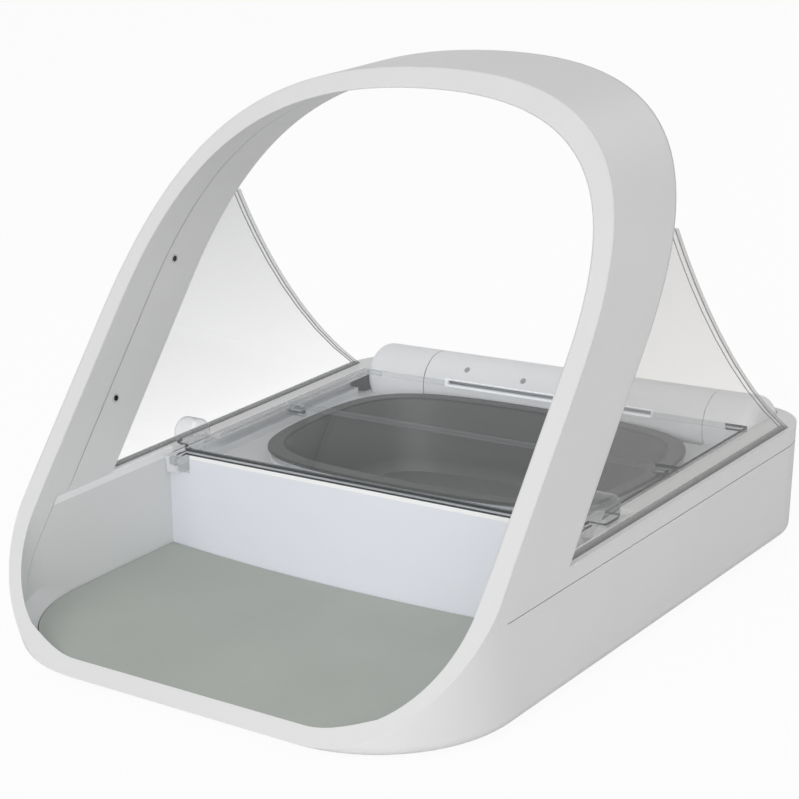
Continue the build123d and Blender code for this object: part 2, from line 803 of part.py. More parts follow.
def rod(y, z, radius, x_from, x_to):
    """A cylinder along X between two x positions."""
    with BuildPart() as bar:
        with BuildSketch(Plane.YZ.offset(x_from)):
            with Locations((y, z)):
                Circle(radius)
        extrude(amount=x_to - x_from)
    return bar.part


with BuildPart() as lid_rear_panel:
    with BuildSketch(Plane.XY.offset(lid_bottom_z)):
        with Locations((0, (fold_y + fold_gap / 2 + cap_clear_y) / 2)):
            Rectangle(lid_width, cap_clear_y - fold_y - fold_gap / 2)
        with Locations((0, (cap_clear_y + tongue_y) / 2)):
            Rectangle(tongue_width, tongue_y - cap_clear_y)
    extrude(amount=lid_thickness)
    for side in (-1, 1):
        add(fold_knuckle(side, rear_knuckle_x, knuckle_radius))
        add(knuckle_pocket(side, front_knuckle_x, big), mode=Mode.SUBTRACT)
        add(fold_knuckle(side, rear_knuckle_x - 1, knuckle_pin_radius, big), mode=Mode.SUBTRACT)
save(lid_rear_panel, "lid_rear_panel")

with BuildPart() as lid_front_panel:
    with BuildSketch(Plane.XY.offset(lid_bottom_z)) as front_outline:
        with Locations((0, (lid_front_y + fold_y - fold_gap / 2) / 2)):
            Rectangle(lid_width, fold_y - fold_gap / 2 - lid_front_y)
        fillet(front_outline.vertices().group_by(Axis.Y)[0], lid_corner_radius)
    extrude(amount=lid_thickness)
    for side in (-1, 1):
        add(fold_knuckle(side, front_knuckle_x, knuckle_radius))
        add(knuckle_pocket(side, rear_knuckle_x, knuckle_width), mode=Mode.SUBTRACT)
        pin_bore = knuckle_pin_radius + running_clearance
        add(fold_knuckle(side, rear_knuckle_x - 1, pin_bore, big), mode=Mode.SUBTRACT)
        # The ear that reaches down to the guide pin, the pin and the knob.
        with BuildSketch(Plane.YZ.offset(side * (lid_half - ear_side_inset))):
            with Locations((guide_pin_y, hinge_z)):
                Circle(ear_radius)
            Polygon(
                (guide_pin_y, hinge_z - ear_radius),
                (guide_pin_y + ear_foot_run, hinge_z - ear_radius + 0.4),
                (guide_pin_y + ear_top_run, lid_bottom_z + 0.5),
                (guide_pin_y + 0.6, lid_bottom_z + 0.5),
                (guide_pin_y, hinge_z + ear_radius),
                align=None,
            )
        extrude(amount=-side * ear_thickness)
        add(rod(guide_pin_y, hinge_z, pin_radius, side * (lid_half - 1), side * pin_reach))
        with BuildPart(mode=Mode.PRIVATE) as knob:
            add(
                rod(
                    guide_pin_y + knob_offset_y,
                    hinge_z + knob_offset_z,
                    knob_radius,
                    side * (lid_half - ear_thickness),
                    side * knob_end_x,
                )
            )
            fillet(knob.edges().filter_by(GeomType.CIRCLE), knob_fillet)
        add(knob.part)
save(lid_front_panel, "lid_front_panel")

with BuildPart() as fold_pins:
    pin_length = lid_half - knuckle_spacing - rear_knuckle_x
    for side in (-1, 1):
        add(fold_knuckle(side, rear_knuckle_x, knuckle_pin_radius, pin_length))
save(fold_pins, "fold_pins")

with BuildPart() as lid_drum:
    add(rod(hinge_y, hinge_z, barrel_radius, drum_left_x, drum_right_x))
    fillet(lid_drum.edges().filter_by(GeomType.CIRCLE), 0.5)
    bore = barrel_radius - barrel_wall
    add(rod(hinge_y, hinge_z, bore, drum_left_x + 2, drum_right_x - 2), mode=Mode.SUBTRACT)
    add(rod(hinge_y, hinge_z, shaft_radius, -big, big), mode=Mode.SUBTRACT)
    # The groove that takes the rear panel's tongue.
    with BuildSketch(Plane.XY.offset(lid_bottom_z)):
        with Locations((0, tongue_y - tongue_depth)):
            Rectangle(tongue_width, 2 * tongue_depth)
    extrude(amount=lid_thickness, mode=Mode.SUBTRACT)
save(lid_drum, "lid_drum")

with BuildPart() as drum_shaft:
    add(rod(hinge_y, hinge_z, shaft_radius, -cap_bore_end_x, cap_bore_end_x))
save(drum_shaft, "drum_shaft")


# Height in modules and half width in tooth widths, from one root over the tip to the other.
tooth_profile = ((-1.25, -1.45), (0.0, -1.0), (0.9, -0.5), (0.9, 0.5), (0.0, 1.0), (-1.25, 1.45))


def gear_blank(teeth, first_angle):
    """A straight-toothed gear's outline: teeth at even steps from first_angle, as a sketch."""
    pitch = gear_module * teeth / 2
    pitch_half = (pi * gear_module - backlash) / 4 / pitch
    points = []
    for tooth in range(teeth):
        middle = radians(first_angle) + 2 * pi * tooth / teeth
        for height, share in tooth_profile:
            angle = middle + share * pitch_half
            radius = pitch + height * gear_module
            points.append((radius * cos(angle), radius * sin(angle)))
    with BuildSketch() as outline:
        Polygon(*points, align=None)
    return outline.sketch


def gear_wheel(teeth, first_angle, z, bore):
    """A gear on an axis along X behind the bowl."""
    face = Plane(origin=(gear_x - gear_face / 2, hinge_y, z), x_dir=(0, 1, 0), z_dir=(1, 0, 0))
    with BuildPart() as wheel:
        with BuildSketch(face):
            add(gear_blank(teeth, first_angle))
            Circle(bore, mode=Mode.SUBTRACT)
        extrude(amount=gear_face)
    return wheel.part


with BuildPart() as lid_gear:
    add(gear_wheel(gear_teeth, -90, hinge_z, shaft_radius))
save(lid_gear, "lid_gear")

with BuildPart() as drive_pinion:
    add(gear_wheel(pinion_teeth, 90 + 180 / pinion_teeth, pinion_z, output_radius))
save(drive_pinion, "drive_pinion")

with BuildPart() as output_shaft:
    add(rod(hinge_y, pinion_z, output_radius, gearbox_end_x - 6, bearing_x + 1.5))
save(output_shaft, "output_shaft")

# ---- barrel end caps, bushes, tracks and shields ------------------------------------------------
for side, word, width in ((-1, "left", cap_width_left), (1, "right", cap_width_right)):
    with BuildPart() as barrel_cap:
        add(rod(hinge_y, hinge_z, barrel_radius, side * (opening_half - width), side * opening_half))
        outer_rim = barrel_cap.edges().filter_by(GeomType.CIRCLE).sort_by(Axis.X)
        fillet(outer_rim[-1] if side > 0 else outer_rim[0], cap_end_round)
        housing_room = tub_block(skin + running_clearance, tray_deck_z - 1, deck_z + barrel_radius)
        add(housing_room, mode=Mode.INTERSECT)
        bore = barrel_radius - barrel_wall
        bore_start_x = opening_half - width - 1
        add(
            rod(hinge_y, hinge_z, bore, side * bore_start_x, side * cap_bore_end_x),
            mode=Mode.SUBTRACT,
        )
        with BuildSketch(Plane.XY.offset(tray_deck_z)):
            Rectangle(big, big)
        extrude(amount=-big, mode=Mode.SUBTRACT)
    save(barrel_cap, "barrel_cap_" + word)

    with BuildPart() as shaft_bush:
        add(rod(hinge_y, hinge_z, bush_radius, side * bush_start_x, side * cap_bore_end_x))
        with BuildSketch(Plane.XY.offset(tray_deck_z)):
            with Locations((side * (bush_start_x + cap_bore_end_x) / 2, hinge_y)):
                Rectangle(cap_bore_end_x - bush_start_x, 2 * bush_radius)
        extrude(amount=hinge_z - tray_deck_z)
        with BuildSketch(Plane.XY.offset(tray_deck_z)):
            Rectangle(big, big)
        extrude(amount=-big, mode=Mode.SUBTRACT)
        add(rod(hinge_y, hinge_z, shaft_radius + running_clearance, -big, big), mode=Mode.SUBTRACT)
    save(shaft_bush, "shaft_bush_" + word)

    # A ledge for the guide pin, open towards the middle and at both ends.
    with BuildPart() as lid_track:
        track_y = (track_front_y + track_rear_y) / 2
        with BuildSketch(Plane.XY.offset(tray_deck_z)):
            with Locations((side * (track_inner_x + track_outer_x) / 2, track_y)):
                Rectangle(track_outer_x - track_inner_x, track_rear_y - track_front_y)
        extrude(amount=track_top_z - tray_deck_z)
        with BuildSketch(Plane.XY.offset(track_groove_z)):
            with Locations((side * (track_inner_x - 1 + track_wall_x) / 2, track_y)):
                Rectangle(track_wall_x - track_inner_x + 1, big)
        extrude(amount=deck_z, mode=Mode.SUBTRACT)
    save(lid_track, "lid_track_" + word)

    with BuildPart() as side_shield:
        add(shield_plate(side, 0))
    save(side_shield, "side_shield_" + word)

# ---- drive, circuit board and buttons --------------------------------------------------------------
with BuildPart() as gear_motor:
    with BuildSketch(Plane.XY.offset(gearbox_low_z)):
        with Locations(((gearbox_start_x + gearbox_end_x) / 2, hinge_y)):
            RectangleRounded(gearbox_width, gearbox_length, 2)
    extrude(amount=gearbox_high_z - gearbox_low_z)
    add(rod(hinge_y, motor_z, motor_radius, motor_start_x, gearbox_start_x + 2))
    add(rod(hinge_y, motor_z, 3, motor_start_x - 2, motor_start_x + 1))
    shaft_room = output_radius + running_clearance
    add(rod(hinge_y, pinion_z, shaft_room, gearbox_end_x - 6, big), mode=Mode.SUBTRACT)
save(gear_motor, "gear_motor")


def bracket_block(x, width, depth, z_high):
    """A block on the housing's floor under the drive, centred at x."""
    with BuildPart() as block:
        with BuildSketch(Plane.XY.offset(housing_floor_z)):
            with Locations((x, hinge_y)):
                Rectangle(width, depth)
        extrude(amount=z_high - housing_floor_z)
    return block.part


with BuildPart() as motor_bracket:
    end_x = bearing_x + 1.5
    plate_x = (motor_start_x + end_x) / 2
    add(bracket_block(plate_x, end_x - motor_start_x, bracket_width, housing_floor_z + 1.6))
    gearbox_x = (gearbox_start_x + gearbox_end_x) / 2
    add(bracket_block(gearbox_x, gearbox_width - 8, bracket_width, gearbox_low_z))
    for x in (motor_start_x + 8, gearbox_start_x - 8):
        add(bracket_block(x, 6, bracket_width, motor_z - motor_radius + 2.5))
    add(bracket_block(bearing_x, 3, bracket_width - 2, pinion_z + 6))
    add(
        rod(hinge_y, motor_z, motor_radius, motor_start_x, gearbox_start_x + 2),
        mode=Mode.SUBTRACT,
    )
    add(rod(hinge_y, pinion_z, shaft_room, bearing_x - 3, big), mode=Mode.SUBTRACT)
save(motor_bracket, "motor_bracket")

with BuildPart() as circuit_board:
    with BuildSketch(Plane.XZ.offset(-board_rear_y)):
        with Locations((board_x, button_z - board_drop)):
            Rectangle(board_width, board_height)
    extrude(amount=board_thickness)
    with BuildSketch(Plane.XZ.offset(-board_rear_y)):
        with Locations(*[(x, button_z) for x in button_xs]):
            Rectangle(6, 6)
    extrude(amount=-1.5)
    with BuildSketch(Plane.XZ.offset(-board_rear_y + board_thickness)):
        with Locations((button_xs[0], button_z - 4)):
            Rectangle(9, 9)
        with Locations((board_x + 4, button_z - 3)):
            Rectangle(12, 5)
        with Locations((button_xs[2], button_z - 2)):
            Circle(3.2)
    extrude(amount=chip_height)
save(circuit_board, "circuit_board")

for x, word in zip(button_xs, ("learn", "open", "training")):
    with BuildPart() as button:
        with BuildSketch(Plane.XZ.offset(-button_back_y)):
            with Locations((x, button_z)):
                Circle(button_flange_radius)
        extrude(amount=-1.5)
        with BuildSketch(Plane.XZ.offset(-button_back_y)):
            with Locations((x, button_z)):
                Circle(button_radius)
        extrude(amount=-(button_tip_y - button_back_y))
        fillet(button.edges().group_by(Axis.Y)[-1], button_end_fillet)
    save(button, "button_" + word)

# ---- batteries ---------------------------------------------------------------------------------------
for side, word in ((-1, "left"), (1, "right")):
    with BuildPart() as cells:
        for start in (cells_front_y, cells_front_y + cell_length):
            with BuildSketch(Plane.XZ.offset(-start)):
                with Locations((side * cell_x, cell_z)):
                    Circle(cell_radius)
            extrude(amount=-(cell_length - cell_terminal_height))
            with BuildSketch(Plane.XZ.offset(-start)):
                with Locations((side * cell_x, cell_z)):
                    Circle(cell_terminal_radius)
            extrude(amount=-cell_length)
    save(cells, "battery_cells_" + word)

    with BuildPart() as contacts:
        for y, way in ((bay_front_y, 1), (bay_rear_y, -1)):
            with BuildSketch(Plane.XZ.offset(-y)):
                with Locations((side * cell_x, housing_floor_z + 1 + contact_height / 2)):
                    Rectangle(contact_width, contact_height)
            extrude(amount=-way * contact_thickness)
            with BuildSketch(Plane.XZ.offset(-y)):
                with Locations((side * cell_x, cell_z)):
                    Circle(cell_terminal_radius + contact_thickness)
            extrude(amount=-way * bay_end_room)
    save(contacts, "battery_contacts_" + word)

    with BuildPart() as battery_cover:
        with BuildSketch(Plane.XY.offset(base_z)):
            with Locations((side * cell_x, bay_y)):
                Rectangle(
                    bay_width + cover_step_width - cover_fit,
                    bay_length + cover_step_length - cover_fit,
                )
        extrude(amount=cover_top_z - base_z)
        with BuildSketch(Plane.XY.offset(cover_top_z)):
            for offset in cover_rib_offsets:
                with Locations((side * cell_x, bay_y + offset)):
                    Rectangle(*cover_rib_size)
        extrude(amount=cell_z - cell_radius + 3 - cover_top_z)
        with BuildSketch(Plane.XZ.offset(big)):
            with Locations((side * cell_x, cell_z)):
                Circle(cell_radius)
        extrude(amount=-2 * big, mode=Mode.SUBTRACT)
    save(battery_cover, "battery_cover_" + word)
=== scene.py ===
import bpy, math
from mathutils import Matrix, Vector

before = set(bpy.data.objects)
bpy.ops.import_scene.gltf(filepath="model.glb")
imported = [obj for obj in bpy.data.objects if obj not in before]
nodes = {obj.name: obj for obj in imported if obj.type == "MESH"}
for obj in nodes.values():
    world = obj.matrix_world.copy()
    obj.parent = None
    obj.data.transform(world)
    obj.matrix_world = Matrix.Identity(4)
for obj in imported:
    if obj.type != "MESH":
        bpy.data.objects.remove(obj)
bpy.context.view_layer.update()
scene = bpy.context.scene

# ---- places on the part, in metres -----------------------------------------------------------
# The housings meet flush below the first height and have rounded edges above the second.
flush_z, rounded_z = 0.042, 0.060

# The lid. The two tables give how dense its cut edges and its rounded forms look at each height.
lid_rim = (
    (0.034, 0.04), (0.0468, 0.04), (0.0469, 0.97), (0.0477, 0.97), (0.0478, 0.45),
    (0.0485, 0.45), (0.0486, 0.95), (0.0497, 0.95), (0.0498, 0.04), (0.064, 0.04),
)
lid_outline = ((0.034, 0.3), (0.0465, 0.3), (0.0469, 0.0), (0.0497, 0.0), (0.0500, 1.0), (0.064, 1.0))
joint_half_x, joint_front_y = 0.088, -0.019  # an edge inside these is a joint between the panels
painted_pale_left_y = -0.012  # where the left edge's painted paler part begins
lip_y, lip_full_y, lip_z = -0.0194, -0.0200, 0.0492
weld_y, weld_full_y = 0.1016, 0.1024
# where a glow is painted on the weld, as middle and reach
painted_glow_weld_y, painted_glow_weld_reach = 0.1040, 0.0019

# The shields: the same kind of table, and the corners (Y, Z) of the curve of the rear edge.
shield_rim = ((0.040, 0.85), (0.050, 0.45), (0.150, 0.45))
shield_corners = ((0.1119, 0.048), (0.0735, 0.0781), (0.0502, 0.1172), (0.0379, 0.1455))
shield_steps = 8
haze_low_z, haze_high_z = 0.048, 0.145
line_inset, line_half, line_fade = 0.0024, 0.0003, 0.0006
bevel_inset, bevel_fade = 0.0019, 0.0022
foot_z, foot_fade_z = 0.0491, 0.0496

# The drum: its gate marks, and the groove that holds the lid, where a glow is painted, as axis, middle
# and reach.
pip_places = ((-0.0435, 0.1067, 0.0542), (-0.013, 0.1057, 0.0532), (0.0175, 0.1057, 0.0532))
pip_radius, pip_fade = 0.0011, 0.0016
groove = (("X", 0.0, 0.0533), ("Y", 0.1047, 0.0025), ("Z", 0.0483, 0.0016))

# The compartment's front wall with a highlight painted along its top, the bowl with its floor painted
# paler and its rim painted darker, and the Y and Z of the sensors in the hoop.
highlight_lip_y, highlight_lip_z, highlight_lip_full_z = -0.015, 0.0445, 0.0448
rim_z, rim_full_z = 0.0430, 0.0434
bowl_floor_z, bowl_wall_z = 0.0150, 0.0205
sensor_places = ((-0.04615, 0.0773), (-0.0053, 0.1253))
lens_radius, collar_radius = 0.0011, 0.0013

# ---- how surfaces show -----------------------------------------------------------------------
front_turn, front_full_turn = -0.3, -0.9  # the normal's Y where a face begins to look forwards and to take the wall's painted front light
edge_turn, face_turn = 0.5, 0.75  # how far the normal lies across a clear sheet, on edge and face
tone_scale, tone_stops, gloss_drift = 18.0, (0.3, 0.7), 0.1
grain_depth = 0.0002
joint_share, painted_pale_left_share = 0.15, 0.5  # what the joints keep of their density, and what the left side keeps where it is painted paler
# the last two are the strengths of a painted glow on the lid's weld and in the drum's groove
lip_density, weld_haze, weld_painted_glow, groove_painted_glow = 0.85, 0.7, 0.5, 0.4
line_density, bevel_haze, foot_density = 0.8, 0.16, 0.66
tint_starts, tint_full = 0.62, 0.7  # the densities between which an edge takes on its own tint
outline_power, sheen_power, least_sheen = 2.0, 5.0, 0.02
# the colour of the painted glow on the lid's weld and in the drum's groove
painted_glow_colour = (0.95, 0.97, 1.0, 1)
white_light = (1, 1, 1, 1)


# ---- nodes -----------------------------------------------------------------------------------
def join(tree, node, slots):
    """Links or sets a node's inputs, given by name or by index."""
    for slot, value in slots.items():
        if isinstance(value, bpy.types.NodeSocket):
            tree.links.new(value, node.inputs[slot])
        else:
            node.inputs[slot].default_value = value
    return node


def add(tree, kind, **inputs):
    """One shader node with its inputs linked or set, each named with _ for a space."""
    node = tree.nodes.new("ShaderNode" + kind)
    return join(tree, node, {name.replace("_", " "): value for name, value in inputs.items()})


def maths(tree, operation, *inputs):
    """The result of one Math node."""
    node = tree.nodes.new("ShaderNodeMath")
    node.operation = operation
    return join(tree, node, dict(enumerate(inputs))).outputs["Value"]


def ramp(tree, value, start, end, first=0.0, last=1.0):
    """Goes from first to last while value goes from start to end, and is level beyond."""
    node = add(tree, "MapRange", Value=value, From_Min=start, From_Max=end, To_Min=first, To_Max=last)
    return node.outputs["Result"]


def within(tree, value, middle, reach):
    """1 where value is less than reach away from middle."""
    away = maths(tree, "ABSOLUTE", maths(tree, "SUBTRACT", value, middle))
    return maths(tree, "LESS_THAN", away, reach)


def distance(tree, place, centre):
    """How far place is from centre."""
    node = tree.nodes.new("ShaderNodeVectorMath")
    node.operation = "DISTANCE"
    return join(tree, node, {0: place, 1: centre}).outputs["Value"]


def axes(tree, vector):
    """The X, Y and Z of a vector."""
    return add(tree, "SeparateXYZ", Vector=vector).outputs


def bands(tree, value, stops):
    """A ramp of grey levels along value, with its stops given in the units of value."""
    start, end = stops[0][0], stops[-1][0]
    node = add(tree, "ValToRGB", Fac=ramp(tree, value, start, end))
    points = node.color_ramp.elements
    while len(points) < len(stops):
        points.new(0.5)
    for point, (place, level) in zip(points, stops):
        point.position = (place - start) / (end - start)
        point.color = (level, level, level, 1)
    return node.outputs["Color"]


def mix_colours(tree, share, first, second):
    """The colour that is share of the way from first to second."""
    node = tree.nodes.new("ShaderNodeMix")
    node.data_type = "RGBA"
    return join(tree, node, {"Factor": share, "A": first, "B": second}).outputs["Result"]


def mix_shaders(tree, share, first, second):
    """The shader that is share of the way from first to second."""
    node = add(tree, "MixShader", Fac=share)
    return join(tree, node, {1: first, 2: second}).outputs["Shader"]


def tree_of(name):
    """A new material with its node tree, empty but for the output."""
    mat = bpy.data.materials.new(name)
    mat.use_nodes = True
    mat.node_tree.nodes.clear()
    return mat, mat.node_tree, add(mat.node_tree, "OutputMaterial")


# ---- materials -------------------------------------------------------------------------------
def rounded_normal(tree, place, radius):
    """The surface's normal, turned near edges as if they were rounded, but only above the seam."""
    bevel = add(tree, "Bevel", Radius=radius)
    bevel.samples = 6
    plain = add(tree, "NewGeometry").outputs["Normal"]
    node = tree.nodes.new("ShaderNodeMix")
    node.data_type = "VECTOR"
    above = ramp(tree, axes(tree, place)["Z"], flush_z, rounded_z)
    # inputs 4 and 5 and output 1 are the node's vectors
    return join(tree, node, {"Factor": above, 4: plain, 5: bevel.outputs["Normal"]}).outputs[1]


def solid(name, colour, rough, metallic=0.0, grain=0.0, grain_scale=1500.0, spread=0.015, soften=0.0):
    """A moulded or metal surface with a fine grain, whose tone and gloss drift a little from place
    to place, and whose edges above the seam are rounded by soften."""
    mat, tree, out = tree_of(name)
    place = add(tree, "TexCoord").outputs["Object"]
    drift = add(tree, "TexNoise", Vector=place, Scale=tone_scale, Detail=6.0).outputs["Fac"]
    tone = add(tree, "ValToRGB", Fac=drift)
    for stop, position, change in zip(tone.color_ramp.elements, tone_stops, (1 - spread, 1 + spread)):
        stop.position = position
        stop.color = (*(min(1.0, part * change) for part in colour), 1)
    gloss = ramp(tree, drift, 0.0, 1.0, rough * (1 - gloss_drift), rough * (1 + gloss_drift))
    noise = add(tree, "TexNoise", Vector=place, Scale=grain_scale, Detail=4.0).outputs["Fac"]
    bump = add(tree, "Bump", Strength=grain, Distance=grain_depth, Height=noise)
    if soften:
        join(tree, bump, {"Normal": rounded_normal(tree, place, soften)})
    shader = add(
        tree, "BsdfPrincipled", Base_Color=tone.outputs["Color"], Metallic=metallic, Roughness=gloss,
        Normal=bump.outputs["Normal"],
    )
    join(tree, out, {"Surface": shader.outputs["BSDF"]})
    return mat


def panel_marks(tree, spot, dense, faces):
    """Marks the lid's panels with pale joints, a left side given painted light that makes it paler, a
    dense lip and a frosted weld.
    """
    aside = maths(tree, "GREATER_THAN", maths(tree, "ABSOLUTE", spot["X"]), joint_half_x)
    free = maths(tree, "MAXIMUM", aside, maths(tree, "LESS_THAN", spot["Y"], joint_front_y))
    dense = maths(tree, "MULTIPLY", dense, ramp(tree, free, 0.0, 1.0, joint_share))
    # painted light: the left side's edges keep less density, so they look paler
    left = maths(tree, "LESS_THAN", spot["X"], -joint_half_x)
    left = maths(tree, "MULTIPLY", left, maths(tree, "GREATER_THAN", spot["Y"], painted_pale_left_y))
    dense = maths(tree, "MULTIPLY", dense, ramp(tree, left, 0.0, 1.0, 1.0, painted_pale_left_share))
    lip = ramp(tree, spot["Y"], lip_y, lip_full_y)
    lip = maths(tree, "MULTIPLY", lip, maths(tree, "GREATER_THAN", spot["Z"], lip_z))
    dense = maths(tree, "MAXIMUM", dense, maths(tree, "MULTIPLY", lip, lip_density))
    weld = ramp(tree, spot["Y"], weld_y, weld_full_y, 0.0, weld_haze)
    return dense, maths(tree, "MAXIMUM", faces, weld)


def free_edge_marks(tree, spot, dense, faces, curve):
    """Marks a shield with a line and a polished bevel beside its rear edge, and a dense foot."""
    inset = maths(tree, "SUBTRACT", bands(tree, spot["Z"], curve), spot["Y"])
    off_line = maths(tree, "ABSOLUTE", maths(tree, "SUBTRACT", inset, line_inset))
    dense = maths(tree, "MAXIMUM", dense, ramp(tree, off_line, line_fade, line_half, 0.0, line_density))
    faces = maths(tree, "MAXIMUM", faces, ramp(tree, inset, bevel_fade, bevel_inset, 0.0, bevel_haze))
    foot = ramp(tree, spot["Z"], foot_fade_z, foot_z, 0.0, foot_density)
    return maths(tree, "MAXIMUM", dense, foot), faces


def clear(name, tint, body, edge_tint, haze, top_haze, rim, rim_axis, shine, outline=None, curve=None):
    """A clear moulding: light passes straight on with a little tint and haze, a sheen grows towards
    grazing views, and the cut edges look denser than the faces, which lie across rim_axis. rim
    gives how dense an edge looks at each height. outline, for the lid's panels, gives how dense a
    rounded form looks. curve, for a shield, gives Y against height along its rear edge."""
    mat, tree, out = tree_of(name)
    coords = add(tree, "TexCoord").outputs
    spot = axes(tree, coords["Object"])
    facing = add(tree, "LayerWeight").outputs["Facing"]
    resin = add(tree, "BsdfPrincipled", Roughness=0.2)
    across = maths(tree, "ABSOLUTE", axes(tree, coords["Normal"])[rim_axis])
    on_edge = ramp(tree, across, face_turn, edge_turn)
    dense = maths(tree, "MULTIPLY", on_edge, bands(tree, spot["Z"], rim))
    faces = ramp(tree, spot["Z"], haze_low_z, haze_high_z, haze, top_haze)
    if curve:
        dense, faces = free_edge_marks(tree, spot, dense, faces, curve)
    if outline:
        dense, faces = panel_marks(tree, spot, dense, faces)
        grazing = maths(tree, "POWER", facing, outline_power)
        rounded = maths(tree, "MULTIPLY", grazing, bands(tree, spot["Z"], outline))
        dense = maths(tree, "MAXIMUM", dense, rounded)
        # a glow painted on the frosted weld, which lies in the shade of the drum's slot
        lit = maths(tree, "MULTIPLY", within(tree, spot["Y"], painted_glow_weld_y, painted_glow_weld_reach), weld_painted_glow)
        join(tree, resin, {"Emission Color": painted_glow_colour, "Emission Strength": lit})

    tinted = ramp(tree, dense, tint_starts, tint_full)
    join(tree, resin, {"Base Color": mix_colours(tree, tinted, (*body, 1), (*edge_tint, 1))})
    through = add(tree, "BsdfTransparent", Color=(*tint, 1)).outputs["BSDF"]
    sheet = mix_shaders(tree, maths(tree, "MAXIMUM", dense, faces), through, resin.outputs["BSDF"])
    mirror = ramp(tree, maths(tree, "POWER", facing, sheen_power), 0.0, 1.0, least_sheen, shine)
    sheen = add(tree, "BsdfGlossy", Color=(0.95, 0.96, 0.97, 1), Roughness=0.03).outputs["BSDF"]
    glossy = mix_shaders(tree, mirror, sheet, sheen)

    # light reaches what stands behind the moulding
    path = add(tree, "LightPath").outputs
    lighting = maths(tree, "MAXIMUM", path["Is Shadow Ray"], path["Is Diffuse Ray"])
    passing = add(tree, "BsdfTransparent", Color=(0.985, 0.985, 0.985, 1)).outputs["BSDF"]
    join(tree, out, {"Surface": mix_shaders(tree, lighting, glossy, passing)})
    return mat


def parts_of(mat):
    """A solid() material's tree, its shader, and the outputs of its texture coordinates."""
    tree = mat.node_tree
    shader = next(node for node in tree.nodes if node.type == "BSDF_PRINCIPLED")
    coords = next(node for node in tree.nodes if node.type == "TEX_COORD")
    return tree, shader, coords.outputs


def shaped_colour(mat, where, colour):
    """Lays colour over a solid() material wherever the 0-to-1 socket that where() builds says so."""
    tree, shader, coords = parts_of(mat)
    base = shader.inputs["Base Color"].links[0].from_socket
    join(tree, shader, {"Base Color": mix_colours(tree, where(tree, coords), base, (*colour, 1))})


def near_pips(tree, coords):
    """1 on the drum's gate marks."""
    found = 0.0
    for pip in pip_places:
        here = ramp(tree, distance(tree, coords["Object"], pip), pip_fade, pip_radius)
        found = maths(tree, "MAXIMUM", found, here)
    return found


def on_painted_lip_highlight(tree, coords):
    """1 on the top two millimetres of the front wall, where a highlight is painted."""
    spot = axes(tree, coords["Object"])
    high_up = ramp(tree, spot["Z"], highlight_lip_z, highlight_lip_full_z)
    return maths(tree, "MULTIPLY", high_up, maths(tree, "LESS_THAN", spot["Y"], highlight_lip_y))


def on_painted_rim_shade(tree, coords):
    """1 on the bowl's flat rim, where a darker shade is painted."""
    return ramp(tree, axes(tree, coords["Object"])["Z"], rim_z, rim_full_z)


def on_painted_bowl_floor_light(tree, coords):
    """1 on the bowl's floor, which is painted paler than its walls as painted light."""
    return ramp(tree, axes(tree, coords["Object"])["Z"], bowl_wall_z, bowl_floor_z)


def on_painted_front_light(tree, coords):
    """1 on faces that look towards -Y, where a paler, bluer light is painted on the wall."""
    return ramp(tree, axes(tree, coords["Normal"])["Y"], front_turn, front_full_turn)


def on_collars(tree, coords):
    """1 on the white collar round each sensor's dark lens."""
    spot = axes(tree, coords["Object"])
    beside = add(tree, "CombineXYZ", Y=spot["Y"], Z=spot["Z"]).outputs["Vector"]
    nearest = 1.0
    for y, z in sensor_places:
        nearest = maths(tree, "MINIMUM", nearest, distance(tree, beside, (0, y, z)))
    return ramp(tree, nearest, lens_radius, collar_radius)


def paint_groove_glow(mat, level):
    """Paints a faint glow on the walls of the drum's groove, lifting the shade in the slot where the
    lid enters.
    """
    tree, shader, coords = parts_of(mat)
    spot = axes(tree, coords["Object"])
    glow = level
    for axis, middle, reach in groove:
        glow = maths(tree, "MULTIPLY", glow, within(tree, spot[axis], middle, reach))
    join(tree, shader, {"Emission Color": painted_glow_colour, "Emission Strength": glow})


white = solid("white_abs", (0.80, 0.80, 0.802), 0.38, grain=0.12, grain_scale=2600, soften=0.0012)
plain_white = solid("white_abs_plain", (0.80, 0.80, 0.802), 0.38, grain=0.12, grain_scale=2600)
wall = solid("compartment_abs", (0.79, 0.795, 0.80), 0.34, grain=0.10, grain_scale=2600)
barrel = solid("barrel_abs", (0.90, 0.91, 0.93), 0.30, grain=0.08, grain_scale=2600, soften=0.0006)
mat_rubber = solid("mat_rubber", (0.50, 0.53, 0.495), 0.62, grain=0.45, grain_scale=1400, spread=0.04)
bowl_plastic = solid("bowl_plastic", (0.105, 0.109, 0.105), 0.34, grain=0.03, grain_scale=2600)
track_plastic = solid("track_plastic", (0.78, 0.79, 0.81), 0.42, grain=0.15)
acetal = solid("acetal", (0.70, 0.69, 0.64), 0.40, grain=0.1)
winding = solid("winding", (0.60, 0.26, 0.10), 0.35, metallic=0.8, grain=0.4, grain_scale=900)
ir_window = solid("ir_window", (0.012, 0.010, 0.013), 0.18, grain=0.03)
steel = solid("ground_steel", (0.56, 0.57, 0.58), 0.26, metallic=1.0, grain=0.1)
bush = solid("sintered_bush", (0.52, 0.38, 0.20), 0.48, metallic=1.0, grain=0.3)
contact = solid("contact_strip", (0.66, 0.62, 0.50), 0.3, metallic=1.0, grain=0.05)
board = solid("solder_mask", (0.01, 0.10, 0.035), 0.35, grain=0.1, spread=0.1)
button_plastic = solid("button_plastic", (0.60, 0.62, 0.65), 0.32, grain=0.08)
cell_sleeve = solid("cell_sleeve", (0.05, 0.055, 0.065), 0.3, grain=0.05)
foot_rubber = solid("foot_rubber", (0.07, 0.07, 0.072), 0.75, grain=0.5)

# a painted glow in the drum's groove
paint_groove_glow(barrel, groove_painted_glow)
shaped_colour(ir_window, on_collars, (0.66, 0.66, 0.665))
